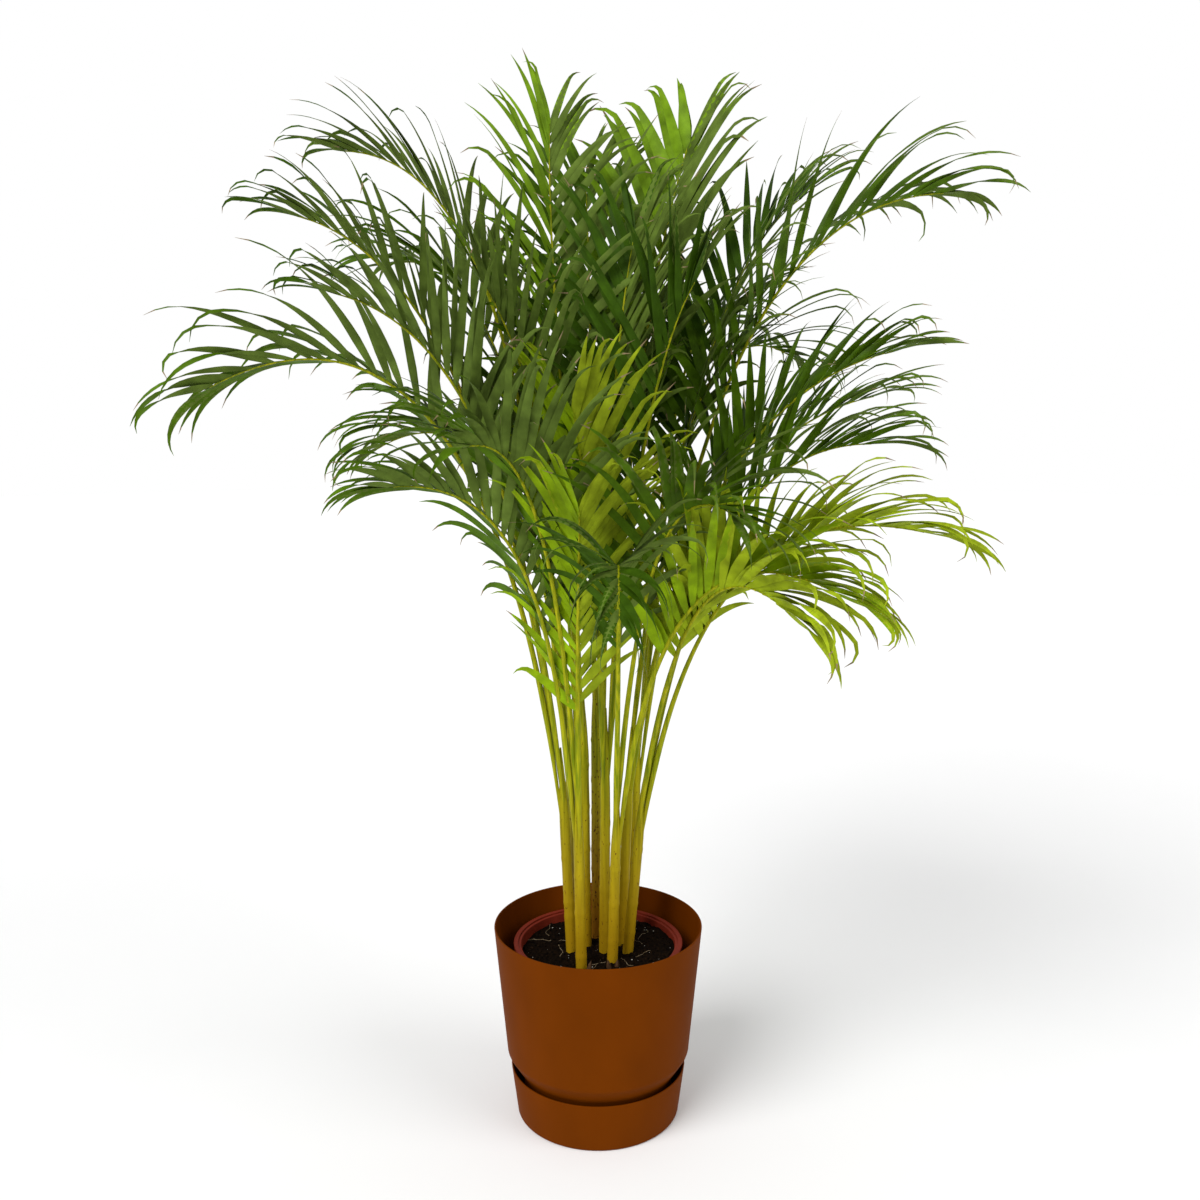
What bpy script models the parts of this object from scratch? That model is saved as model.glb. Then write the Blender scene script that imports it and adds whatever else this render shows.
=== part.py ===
"""A potted areca palm: a clump of canes in a nursery pot, inside a planter that stands in its saucer.

Metres, +Z up, -Y is the front. The origin is the middle of the saucer's flat underside. The planter,
the saucer and the nursery pot are turned, the canes are tapered stems with flat cuts at both ends, and
each frond is a rib with leaflets fused on along both sides of it. A leaflet here stands for two or
three real ones.
"""
import math
from collections import namedtuple

import bmesh
import bpy
from mathutils import Matrix, Vector
from mathutils.bvhtree import BVHTree

# Clearance between neighbouring solids
GAP = 0.0003

# Saucer
SAUCER_HEIGHT = 0.0717
SAUCER_RIM_RADIUS = 0.1250
SAUCER_BASE_RADIUS = 0.1165
SAUCER_EDGE_ROUND = 0.0040
SAUCER_WALL = 0.0022
SAUCER_FLOOR = 0.0030

# Planter: a straight taper down to a shoulder, then a tucked-in neck that stands in the saucer
POT_HEIGHT = 0.2800
POT_RIM_RADIUS = 0.1475
POT_SHOULDER_RADIUS = 0.1306
POT_SHOULDER_HEIGHT = 0.0985
POT_SHOULDER_ROUND = 0.0120
POT_SHOULDER_TURN = 32.0
POT_TUCK_RADIUS = 0.1160
POT_TUCK_HEIGHT = 0.0720
POT_NECK_RADIUS = 0.1070
POT_NECK_HEIGHT = 0.0580
POT_WALL = 0.0025
POT_FOOT_RING = 0.0100
POT_FLOOR = 0.0200
POT_FLOOR_THICKNESS = 0.0030

# Nursery pot, with a stepped rim
NURSERY_RIM_HEIGHT = 0.2537
NURSERY_RIM_RADIUS = 0.1203
NURSERY_STEP_RADIUS = 0.1155
NURSERY_MOUTH_RADIUS = 0.1098
NURSERY_BASE_RADIUS = 0.0880
NURSERY_RIM_DEPTH = 0.0110
NURSERY_STEP_DEPTH = 0.0025
NURSERY_WALL = 0.0016

SOIL_LEVEL = 0.2410
SOIL_ROUND = 0.0040

TURNED_STEPS = 32
EDGE = 0.0006

# Canes
CANE_FOOT_RADIUS = 0.0076
CANE_TOP_RADIUS = 0.0072
CANE_SIDES = 12
SHARP_ANGLE = 50.0

# Ribs. They stand side by side on their cane, start along its line, and lean out by the spread
RIB_FOOT_RADIUS = 0.0031
RIB_TIP_RADIUS = 0.0011
RIB_TAPER = 1.5
RIB_POINTS = 8
RIB_UPRIGHT = 0.008
SEAT_RADIUS = 0.0039
SPREAD = 0.06
RISE = 0.55

# Leaflets. Width and thickness are shares of the length, angles are in degrees from the rib, and lift
# is how far the two rows fold up into a V
LEAFLET_PAIRS = 8
LEAFLET_WIDTH = 0.100
LEAFLET_THICKNESS = 0.0110
LEAFLET_BEND_AT = 0.46
LEAFLET_SINK = 0.0018
LEAFLET_ROOT = 0.0060
LEAFLET_ROOT_WIDTH = 0.22
LEAFLET_DEPTH_TAPER = 0.4
FIRST_LENGTH = 0.62
LAST_LENGTH = 0.50
LONGEST_AT = 0.45
LENGTH_FALL = 1.6
BLADE_END = 0.995
ANGLE_AT_FOOT = 50.0
ANGLE_AT_TIP = 18.0
ANGLE_FALL = 1.3
LIFT_AT_FOOT = 36.0
LIFT_AT_TIP = 22.0
DROOP_GAIN = 1.3
DROOP_OF_STEEP = 0.25
DROOP_CURVE = 2.2
LINE_STEPS = 8

# What a leaflet keeps clear of other solids by, and the ways it is turned about the rib, opened from it
# and shortened until it does
CLEARANCE = 0.0007
DODGES = [(0, 0, 1.0), (9, 0, 1.0), (-9, 0, 1.0), (0, 8, 1.0), (18, 0, 1.0), (-18, 0, 1.0), (9, 8, 0.9),
          (-9, -8, 0.9), (27, 0, 0.9), (-27, 0, 0.9), (0, 0, 0.75), (14, 10, 0.7), (-14, -10, 0.7), (0, 0, 0.55)]

# The foot and the top of each cane; a cane's top carries the fronds
Cane = namedtuple("Cane", "foot_x foot_y top_x top_y top_z")
CANES = {
    "left": Cane(-0.038, -0.004, -0.047, -0.006, 0.43),
    "left_back": Cane(-0.034, 0.040, -0.040, 0.050, 0.46),
    "front_left": Cane(-0.023, -0.060, -0.026, -0.068, 0.41),
    "mid_left": Cane(-0.017, 0.010, -0.020, 0.014, 0.52),
    "brown": Cane(-0.002, 0.036, -0.003, 0.042, 0.55),
    "back_mid": Cane(0.008, 0.070, 0.010, 0.084, 0.47),
    "middle": Cane(0.009, -0.008, 0.010, -0.012, 0.47),
    "front_right": Cane(0.020, -0.044, 0.024, -0.052, 0.40),
    "right": Cane(0.033, 0.012, 0.042, 0.012, 0.45),
    "right_front": Cane(0.042, -0.014, 0.056, -0.022, 0.41),
    "right_back": Cane(0.044, 0.044, 0.054, 0.054, 0.45),
    "far_back": Cane(-0.024, 0.078, -0.030, 0.094, 0.44),
}

# Each frond's shape. cane: what it grows from; seat: where it stands on the cane's top, in degrees;
# heading: which way it grows, in degrees from +X; reach and height: where its rib ends, from the axis
# and from the floor; crest and lead: the height it arches through, and how far along that lies;
# sway: how far it bows to its left; bare: the share of the rib below the leaflets; leaf: the longest
# leaflet; roll: how far the blade turns about its rib; droop: how far the leaflets bend over
Frond = namedtuple("Frond", "cane seat heading reach height crest lead sway bare leaf roll droop")
FRONDS = {
    "left_long": Frond("left", 190, 187, 0.50, 1.03, 1.18, 0.38, 0.00, 0.36, 0.25, 28, 70),
    "left_high": Frond("left", 70, 190, 0.38, 1.24, 1.20, 0.45, 0.00, 0.38, 0.22, 5, 45),
    "left_mid": Frond("left", 310, 202, 0.34, 1.14, 1.10, 0.35, 0.00, 0.38, 0.22, 5, 40),
    "left_top": Frond("left_back", 200, 165, 0.36, 1.35, 1.34, 0.27, 0.00, 0.40, 0.21, 15, 45),
    "back_left": Frond("left_back", 80, 140, 0.40, 1.22, 1.24, 0.35, 0.00, 0.40, 0.24, 0, 60),
    "left_low": Frond("front_left", 180, 215, 0.30, 0.91, 0.92, 0.25, 0.00, 0.40, 0.20, 25, 60),
    "front_second": Frond("front_left", 300, 263, 0.18, 0.88, 0.80, 0.45, 0.00, 0.34, 0.20, 0, 30),
    "front_left": Frond("front_left", 60, 238, 0.28, 0.96, 0.98, 0.35, 0.00, 0.40, 0.22, 10, 60),
    "top_left": Frond("mid_left", 113, 113, 0.175, 1.40, 1.20, 0.50, 0.03, 0.42, 0.22, 0, 45),
    "left_inner": Frond("mid_left", 293, 205, 0.16, 1.16, 1.05, 0.45, 0.00, 0.40, 0.24, 0, 30),
    "back_up": Frond("brown", 130, 95, 0.22, 1.34, 1.20, 0.45, 0.00, 0.40, 0.24, 0, 40),
    "centre_up": Frond("brown", 310, 60, 0.10, 1.24, 1.10, 0.50, 0.00, 0.40, 0.24, 0, 30),
    "top_right": Frond("back_mid", 10, 54, 0.222, 1.38, 1.20, 0.50, 0.00, 0.42, 0.25, 0, 35),
    "back_far": Frond("back_mid", 130, 88, 0.42, 1.12, 1.24, 0.38, 0.00, 0.40, 0.24, 0, 60),
    "front_bright": Frond("middle", 230, 256, 0.125, 1.00, 0.88, 0.50, 0.00, 0.34, 0.22, 0, 25),
    "upper_mid": Frond("middle", 50, 330, 0.14, 1.16, 1.05, 0.45, 0.00, 0.42, 0.24, 0, 35),
    "front_droop": Frond("front_right", 240, 274, 0.34, 0.78, 0.92, 0.30, 0.00, 0.40, 0.18, 0, 80),
    "front_right": Frond("front_right", 120, 302, 0.30, 0.88, 0.95, 0.35, 0.00, 0.42, 0.22, 0, 60),
    "right_under": Frond("front_right", 0, 325, 0.36, 0.78, 0.88, 0.35, 0.00, 0.42, 0.22, -20, 60),
    "right_spear": Frond("right", 310, 350, 0.38, 1.075, 1.03, 0.40, 0.00, 0.45, 0.20, -10, 40),
    "right_mid": Frond("right", 70, 14, 0.40, 1.02, 0.98, 0.40, 0.00, 0.42, 0.22, 0, 45),
    "right_arch": Frond("right", 190, 30, 0.32, 1.08, 1.16, 0.35, 0.00, 0.42, 0.24, 0, 80),
    "right_thin": Frond("right_front", 100, 340, 0.36, 0.96, 0.96, 0.38, 0.00, 0.42, 0.22, -10, 50),
    "right_spread": Frond("right_front", 340, 337, 0.43, 0.855, 0.90, 0.36, 0.00, 0.42, 0.22, -10, 60),
    "right_low": Frond("right_front", 220, 318, 0.31, 0.76, 0.86, 0.40, 0.00, 0.42, 0.22, -35, 70),
    "right_long": Frond("right_back", 330, 8, 0.47, 1.29, 1.28, 0.35, 0.00, 0.42, 0.25, -20, 75),
    "upper_right": Frond("right_back", 210, 30, 0.335, 1.30, 1.20, 0.40, 0.00, 0.42, 0.24, 0, 60),
    "back_right": Frond("right_back", 90, 58, 0.40, 1.14, 1.20, 0.38, 0.00, 0.42, 0.24, 0, 60),
    "back_low": Frond("far_back", 60, 108, 0.42, 0.92, 1.08, 0.35, 0.00, 0.42, 0.22, 0, 70),
    "back_left_low": Frond("far_back", 210, 148, 0.40, 0.94, 1.06, 0.35, 0.00, 0.42, 0.22, 0, 70),
}

# Base colour and roughness of each material
FINISHES = {
    "planter_brown": ((0.170, 0.046, 0.010), 0.42),
    "nursery_red": ((0.230, 0.040, 0.022), 0.45),
    "soil_black": ((0.012, 0.008, 0.006), 0.95),
    "cane_green": ((0.300, 0.310, 0.030), 0.45),
    "cane_brown": ((0.160, 0.070, 0.020), 0.60),
    "leaf_green": ((0.045, 0.120, 0.018), 0.45),
    "leaf_bright": ((0.160, 0.290, 0.012), 0.45),
}
BROWN_CANES = {"left_back", "brown"}
BRIGHT_FRONDS = {"front_bright", "front_second", "right_spread", "right_low"}


def clear_scene():
    """Remove every object of the scene that the file opens with."""
    for thing in list(bpy.data.objects):
        bpy.data.objects.remove(thing, do_unlink=True)


def new_collection(name):
    """Make a collection under the scene's own."""
    group = bpy.data.collections.new(name)
    bpy.context.scene.collection.children.link(group)
    return group


def make_material(name):
    """Make one Principled material from the table of finishes."""
    colour, roughness = FINISHES[name]
    material = bpy.data.materials.new(name)
    material.use_nodes = True
    shader = material.node_tree.nodes["Principled BSDF"]
    shader.inputs["Base Color"].default_value = (*colour, 1.0)
    shader.inputs["Roughness"].default_value = roughness
    shader.inputs["Metallic"].default_value = 0.0
    return material


def add_object(name, mesh, group, material):
    """Put a mesh in the scene as one named object."""
    thing = bpy.data.objects.new(name, mesh)
    mesh.materials.append(material)
    group.objects.link(thing)
    return thing


def arc(centre, radius, start, end, steps):
    """Points of an arc in the (radius, height) plane, angles in degrees."""
    points = []
    for step in range(steps + 1):
        angle = math.radians(start + (end - start) * step / steps)
        points.append((centre[0] + radius * math.cos(angle), centre[1] + radius * math.sin(angle)))
    return points


def turned(name, profile, group, material):
    """Turn a profile that starts and ends on the axis and runs down its outer side."""
    mesh = bpy.data.meshes.new(name)
    form = bmesh.new()
    corners = [form.verts.new((radius, 0.0, height)) for radius, height in profile]
    for one, two in zip(corners, corners[1:]):
        form.edges.new((one, two))
    form.to_mesh(mesh)
    form.free()
    thing = add_object(name, mesh, group, material)
    screw = thing.modifiers.new("Turn", "SCREW")
    screw.angle = math.tau
    screw.steps = TURNED_STEPS
    screw.render_steps = TURNED_STEPS
    screw.use_merge_vertices = True
    screw.merge_threshold = 0.00001
    screw.use_smooth_shade = True
    return thing


def saucer_profile():
    """Inside from the middle of the floor up to the rim, then down the outside."""
    inner_base = SAUCER_BASE_RADIUS - SAUCER_WALL
    edge_centre = (SAUCER_BASE_RADIUS - SAUCER_EDGE_ROUND, SAUCER_EDGE_ROUND)
    return [
        (0.0, SAUCER_FLOOR),
        (inner_base - SAUCER_FLOOR, SAUCER_FLOOR),
        (inner_base, 2.0 * SAUCER_FLOOR),
        (SAUCER_RIM_RADIUS - SAUCER_WALL, SAUCER_HEIGHT - EDGE),
        (SAUCER_RIM_RADIUS - SAUCER_WALL + EDGE, SAUCER_HEIGHT),
        (SAUCER_RIM_RADIUS - EDGE, SAUCER_HEIGHT),
        (SAUCER_RIM_RADIUS, SAUCER_HEIGHT - EDGE),
        *arc(edge_centre, SAUCER_EDGE_ROUND, 0.0, -90.0, 3),
        (0.0, 0.0),
    ]


def planter_profile():
    """Inside of the planter from the middle of its floor, then down the outside to the foot ring."""
    stand = SAUCER_FLOOR + GAP
    floor_top = POT_FLOOR + POT_FLOOR_THICKNESS
    ring_inside = POT_NECK_RADIUS - POT_FOOT_RING
    round_centre = (POT_SHOULDER_RADIUS - POT_SHOULDER_ROUND, POT_SHOULDER_HEIGHT)
    return [
        (0.0, floor_top),
        (POT_NECK_RADIUS - POT_WALL - 2.0 * EDGE, floor_top),
        (POT_NECK_RADIUS - POT_WALL, floor_top + 2.0 * EDGE),
        (POT_NECK_RADIUS - POT_WALL, POT_NECK_HEIGHT),
        (POT_TUCK_RADIUS - POT_WALL, POT_TUCK_HEIGHT + POT_WALL / 2.0),
        (POT_SHOULDER_RADIUS - POT_WALL, POT_SHOULDER_HEIGHT),
        (POT_RIM_RADIUS - POT_WALL, POT_HEIGHT - EDGE),
        (POT_RIM_RADIUS - POT_WALL + EDGE, POT_HEIGHT),
        (POT_RIM_RADIUS - EDGE, POT_HEIGHT),
        (POT_RIM_RADIUS, POT_HEIGHT - EDGE),
        *arc(round_centre, POT_SHOULDER_ROUND, 0.0, -POT_SHOULDER_TURN, 2),
        (POT_TUCK_RADIUS, POT_TUCK_HEIGHT),
        (POT_NECK_RADIUS, POT_NECK_HEIGHT),
        (POT_NECK_RADIUS, stand),
        (ring_inside, stand),
        (ring_inside, POT_FLOOR),
        (0.0, POT_FLOOR),
    ]


def nursery_base():
    """The height of the nursery pot's underside."""
    return POT_FLOOR + POT_FLOOR_THICKNESS + GAP


def nursery_profile():
    """Inside of the nursery pot from the middle of its floor, over the stepped rim and down."""
    base = nursery_base()
    step = NURSERY_RIM_HEIGHT - NURSERY_STEP_DEPTH
    skirt = NURSERY_RIM_HEIGHT - NURSERY_RIM_DEPTH
    return [
        (0.0, base + NURSERY_WALL),
        (NURSERY_BASE_RADIUS - NURSERY_WALL, base + NURSERY_WALL),
        (NURSERY_MOUTH_RADIUS, step - EDGE),
        (NURSERY_MOUTH_RADIUS + EDGE, step),
        (NURSERY_STEP_RADIUS - NURSERY_WALL, step),
        (NURSERY_STEP_RADIUS - NURSERY_WALL, NURSERY_RIM_HEIGHT),
        (NURSERY_RIM_RADIUS - EDGE, NURSERY_RIM_HEIGHT),
        (NURSERY_RIM_RADIUS, NURSERY_RIM_HEIGHT - EDGE),
        (NURSERY_RIM_RADIUS - EDGE, skirt),
        (NURSERY_MOUTH_RADIUS + NURSERY_WALL, skirt),
        (NURSERY_BASE_RADIUS, base),
        (0.0, base),
    ]


def soil_profile():
    """The soil fills the nursery pot, clear of its wall by the gap."""
    base = nursery_base() + NURSERY_WALL + GAP
    slope = (NURSERY_MOUTH_RADIUS - NURSERY_BASE_RADIUS + NURSERY_WALL) / (NURSERY_RIM_HEIGHT - base)
    base_radius = NURSERY_BASE_RADIUS - NURSERY_WALL - 2.0 * GAP
    top_radius = base_radius + slope * (SOIL_LEVEL - SOIL_ROUND - base)
    return [
        (0.0, SOIL_LEVEL),
        (top_radius - SOIL_ROUND, SOIL_LEVEL),
        (top_radius, SOIL_LEVEL - SOIL_ROUND),
        (base_radius, base),
        (0.0, base),
    ]


def cane_object(name, cane, group, material):
    """A tapered stem whose two cuts are level, leaning from its foot to its top."""
    foot = SOIL_LEVEL + GAP
    height = cane.top_z - foot
    lean = Matrix.Identity(4)
    lean[0][2] = (cane.top_x - cane.foot_x) / height
    lean[1][2] = (cane.top_y - cane.foot_y) / height
    lean[0][3] = (cane.foot_x + cane.top_x) / 2.0
    lean[1][3] = (cane.foot_y + cane.top_y) / 2.0
    lean[2][3] = foot + height / 2.0
    form = bmesh.new()
    bmesh.ops.create_cone(form, cap_ends=True, segments=CANE_SIDES, radius1=CANE_FOOT_RADIUS,
                          radius2=CANE_TOP_RADIUS, depth=height, matrix=lean)
    mesh = bpy.data.meshes.new(name)
    form.to_mesh(mesh)
    form.free()
    mesh.shade_smooth()
    mesh.set_sharp_from_angle(angle=math.radians(SHARP_ANGLE))
    return add_object(name, mesh, group, material)


def heading_vector(degrees):
    """A level unit vector at an angle from +X."""
    return Vector((math.cos(math.radians(degrees)), math.sin(math.radians(degrees)), 0.0))


def rib_controls(frond):
    """The four control points of a rib, from the top of its cane to its end."""
    cane = CANES[frond.cane]
    top = Vector((cane.top_x, cane.top_y, cane.top_z))
    foot = Vector((cane.foot_x, cane.foot_y, SOIL_LEVEL))
    out = heading_vector(frond.heading)
    left = heading_vector(frond.heading + 90.0)
    start = top + heading_vector(frond.seat) * SEAT_RADIUS
    start.z = top.z + GAP
    climb = (top - foot).normalized() + out * SPREAD
    first = start + climb.normalized() * RISE * (frond.crest - top.z)
    end = out * frond.reach
    end.z = frond.height
    over = top.lerp(end, frond.lead) + left * frond.sway
    over.z = frond.crest
    return start, first, over, end


def rib_point(controls, share):
    """A point of the rib and its direction there."""
    start, first, over, end = controls
    rest = 1.0 - share
    point = rest ** 3 * start + 3 * rest ** 2 * share * first + 3 * rest * share ** 2 * over + share ** 3 * end
    along = rest ** 2 * (first - start) + 2 * rest * share * (over - first) + share ** 2 * (end - over)
    return point, along.normalized()


def chord_point(controls, share):
    """A point of the straight-sided rib, which has few stations, and the curve's direction there."""
    step = min(int(share * RIB_POINTS), RIB_POINTS - 1)
    here = rib_point(controls, step / RIB_POINTS)[0]
    there = rib_point(controls, (step + 1) / RIB_POINTS)[0]
    return here.lerp(there, share * RIB_POINTS - step), rib_point(controls, share)[1]


def rib_radius(share):
    """The rib is thick as far as the leaflets and fine at its end."""
    return RIB_FOOT_RADIUS + (RIB_TIP_RADIUS - RIB_FOOT_RADIUS) * share ** RIB_TAPER


def rib_mesh(name, frond):
    """The rib as a closed four-sided tube that starts upright on its cane."""
    controls = rib_controls(frond)
    line = bpy.data.curves.new(name, "CURVE")
    line.dimensions = "3D"
    line.bevel_depth = 1.0
    line.bevel_resolution = 0
    line.use_fill_caps = True
    run = line.splines.new("POLY")
    run.points.add(RIB_POINTS)
    foot = controls[0]
    stations = [(foot, 0.0)]
    for step in range(1, RIB_POINTS + 1):
        share = step / RIB_POINTS
        stations.append((rib_point(controls, share)[0], share))
    stations[1] = (Vector((foot.x, foot.y, stations[1][0].z)).lerp(stations[1][0], 0.5), stations[1][1])
    stations.insert(1, (foot + Vector((0.0, 0.0, RIB_UPRIGHT)), 0.0))
    run.points.add(1)
    for point, (place, share) in zip(run.points, stations):
        point.co = (*place, 1.0)
        point.radius = rib_radius(share)
    helper = bpy.data.objects.new(name, line)
    bpy.context.scene.collection.objects.link(helper)
    evaluated = helper.evaluated_get(bpy.context.evaluated_depsgraph_get())
    mesh = bpy.data.meshes.new_from_object(evaluated)
    bpy.data.objects.remove(helper)
    bpy.data.curves.remove(line)
    form = bmesh.new()
    form.from_mesh(mesh)
    bmesh.ops.remove_doubles(form, verts=form.verts, dist=0.00001)
    bmesh.ops.recalc_face_normals(form, faces=form.faces)
    bmesh.ops.triangulate(form, faces=form.faces)
    form.to_mesh(mesh)
    form.free()
    return mesh


def leaflet_size(frond, share):
    """Leaflets grow longer over the first part of the blade and shorter towards its end."""
    if share < LONGEST_AT:
        rise = math.sin(math.pi / 2.0 * share / LONGEST_AT)
        return frond.leaf * (FIRST_LENGTH + (1.0 - FIRST_LENGTH) * rise)
    fall = ((share - LONGEST_AT) / (1.0 - LONGEST_AT)) ** LENGTH_FALL
    return frond.leaf * (1.0 - (1.0 - LAST_LENGTH) * fall)


def leaflet_line(frond, share, side, turn=0.0, open_by=0.0, scale=1.0):
    """The middle line of one leaflet, from the rib to its tip, and the direction across its root."""
    place, along = chord_point(rib_controls(frond), frond.bare + (BLADE_END - frond.bare) * share)
    out = heading_vector(frond.heading)
    across = out.cross(Vector((0.0, 0.0, 1.0)))
    across = (across - along * across.dot(along)).normalized()
    above = across.cross(along)
    blade_turn = Matrix.Rotation(math.radians(frond.roll), 3, along)
    across = blade_turn @ across
    above = blade_turn @ above
    angle = math.radians(ANGLE_AT_FOOT + (ANGLE_AT_TIP - ANGLE_AT_FOOT) * share ** ANGLE_FALL + open_by)
    lift = math.radians(LIFT_AT_FOOT + (LIFT_AT_TIP - LIFT_AT_FOOT) * share + turn)
    outward = across * (side * math.cos(lift)) + above * math.sin(lift)
    begin = along * math.cos(angle) + outward * math.sin(angle)
    down = Vector((0.0, 0.0, -1.0)) + begin * begin.z
    level = down.length
    down.normalize()
    most = math.radians(frond.droop) * DROOP_GAIN * (DROOP_OF_STEEP + (1.0 - DROOP_OF_STEEP) * level)
    length = leaflet_size(frond, share) * scale
    line = [place]
    for step in range(LINE_STEPS):
        bend = most * ((step + 0.5) / LINE_STEPS) ** DROOP_CURVE
        line.append(line[-1] + (begin * math.cos(bend) + down * math.sin(bend)) * (length / LINE_STEPS))
    return line, along


def leaflet_mesh(line, along, grow=0.0):
    """A three-sided blade of twelve faces, bent once, its blunt root inside the rib."""
    root = line[0]
    middle = line[round(LEAFLET_BEND_AT * LINE_STEPS)]
    tip = line[-1]
    length = (middle - root).length + (tip - middle).length
    half = length * LEAFLET_WIDTH / 2.0 + grow
    thick = length * LEAFLET_THICKNESS * 2.0 / 3.0 + grow
    first = (middle - root).normalized()
    last = (tip - middle).normalized()
    bisector = (first + last).normalized()
    sections = [
        (root - first * LEAFLET_SINK, first, 0.0),
        (root + first * LEAFLET_ROOT, first, LEAFLET_ROOT_WIDTH),
        (middle, bisector, 1.0),
        (tip + last * grow, last, 0.0),
    ]
    form = bmesh.new()
    bmesh.ops.create_uvsphere(form, u_segments=3, v_segments=3, radius=1.0)
    for corner in form.verts:
        rank = round((corner.co.z + 1.0) * 1.5)
        place, ahead, width = sections[rank]
        around = Vector((corner.co.x, corner.co.y))
        if width > 0.0:
            around.normalize()
        wide = (along - ahead * along.dot(ahead)).normalized()
        keel = wide.cross(ahead)
        depth = thick * width ** LEAFLET_DEPTH_TAPER
        corner.co = place + wide * (around.y * half * width) + keel * (around.x * depth)
    bmesh.ops.triangulate(form, faces=form.faces)
    return form


def leaflet_places():
    """Share along the blade and side of each leaflet: the two sides alternate, and a pair ends the rib."""
    places = []
    for rank in range(LEAFLET_PAIRS):
        places.append(((rank + 0.1) / LEAFLET_PAIRS, 1))
        places.append(((rank + 0.6) / LEAFLET_PAIRS, -1))
    return places + [(1.0, 1), (1.0, -1)]


def tree_of(mesh):
    """A search tree over one mesh's faces."""
    return BVHTree.FromPolygons([corner.co for corner in mesh.vertices], [face.vertices for face in mesh.polygons])


def fitted_leaflet(frond, share, side, neighbours):
    """The first way of growing a leaflet that clears every neighbour, or none."""
    for turn, open_by, scale in DODGES:
        line, along = leaflet_line(frond, share, side, turn, open_by, scale)
        trial = leaflet_mesh(line, along, CLEARANCE)
        trial_tree = BVHTree.FromBMesh(trial)
        trial.free()
        if not any(trial_tree.overlap(tree) for tree in neighbours):
            return leaflet_mesh(line, along)
    return None


def united(thing, others, solver):
    """The mesh of one object joined with every object of a collection."""
    union = thing.modifiers.new("Join", "BOOLEAN")
    union.operation = "UNION"
    union.operand_type = "COLLECTION"
    union.collection = others
    union.solver = solver
    mesh = bpy.data.meshes.new_from_object(thing.evaluated_get(bpy.context.evaluated_depsgraph_get()))
    thing.modifiers.clear()
    return mesh


def is_closed(mesh):
    """Whether every edge of a mesh has two faces."""
    form = bmesh.new()
    form.from_mesh(mesh)
    closed = all(edge.is_manifold for edge in form.edges)
    form.free()
    return closed


def frond_object(name, frond, rib, neighbours, group, material):
    """One frond: its rib and leaflets joined by one Boolean union."""
    thing = add_object(name, rib, group, material)
    leaves = new_collection(name + "_leaves")
    for share, side in leaflet_places():
        form = fitted_leaflet(frond, share, side, neighbours)
        if form is None:
            continue
        mesh = bpy.data.meshes.new("leaf")
        form.to_mesh(mesh)
        form.free()
        leaves.objects.link(bpy.data.objects.new("leaf", mesh))
    joined = united(thing, leaves, "EXACT")
    if not is_closed(joined):
        joined = united(thing, leaves, "MANIFOLD")
    thing.data = joined
    for leaf in list(leaves.objects):
        bpy.data.objects.remove(leaf)
    bpy.data.collections.remove(leaves)
    return thing


def main():
    clear_scene()
    plant = new_collection("areca_palm")
    materials = {name: make_material(name) for name in FINISHES}
    turned("saucer", saucer_profile(), plant, materials["planter_brown"])
    turned("planter", planter_profile(), plant, materials["planter_brown"])
    turned("nursery_pot", nursery_profile(), plant, materials["nursery_red"])
    turned("soil", soil_profile(), plant, materials["soil_black"])
    trees = {}
    for name, cane in CANES.items():
        finish = "cane_brown" if name in BROWN_CANES else "cane_green"
        stem = cane_object("cane_" + name, cane, plant, materials[finish])
        trees["cane_" + name] = tree_of(stem.data)
    ribs = {name: rib_mesh("frond_" + name, frond) for name, frond in FRONDS.items()}
    for name, rib in ribs.items():
        trees[name] = tree_of(rib)
    for name, frond in FRONDS.items():
        finish = "leaf_bright" if name in BRIGHT_FRONDS else "leaf_green"
        neighbours = [tree for key, tree in trees.items() if key != name]
        thing = frond_object("frond_" + name, frond, ribs[name], neighbours, plant, materials[finish])
        trees[name] = tree_of(thing.data)


main()
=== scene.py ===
"""Looks of the potted areca palm: pots, soil, canes and leaves, with a pale floor, soft light and a camera.

Metres, +Z up, -Y is the front. Each frond is grown again by the rule that shapes its solid, with its
leaflets at their real width and closer to their real number.
"""
import math
import random
from collections import namedtuple

import bmesh
import bpy
from mathutils import Matrix, Vector, noise


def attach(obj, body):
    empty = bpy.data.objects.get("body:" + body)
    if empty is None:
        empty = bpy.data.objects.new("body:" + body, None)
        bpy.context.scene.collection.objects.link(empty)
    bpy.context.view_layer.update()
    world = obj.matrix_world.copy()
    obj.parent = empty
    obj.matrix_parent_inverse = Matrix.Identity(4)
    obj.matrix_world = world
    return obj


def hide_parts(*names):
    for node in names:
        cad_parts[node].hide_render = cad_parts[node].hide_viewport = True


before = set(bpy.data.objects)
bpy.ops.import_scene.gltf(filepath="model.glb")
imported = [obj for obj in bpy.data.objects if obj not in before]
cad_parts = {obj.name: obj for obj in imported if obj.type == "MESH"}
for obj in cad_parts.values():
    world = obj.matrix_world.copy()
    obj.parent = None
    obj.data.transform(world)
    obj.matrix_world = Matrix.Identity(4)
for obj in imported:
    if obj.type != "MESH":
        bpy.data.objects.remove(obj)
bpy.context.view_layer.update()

# Camera, at the height and the distance that the pot's ellipses give
VIEW_PLACE = (0.0027, -1.6241, 1.0027)
VIEW_DOWN = 9.006
VIEW_LENS = 36.135
SENSOR = 36.0

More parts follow.
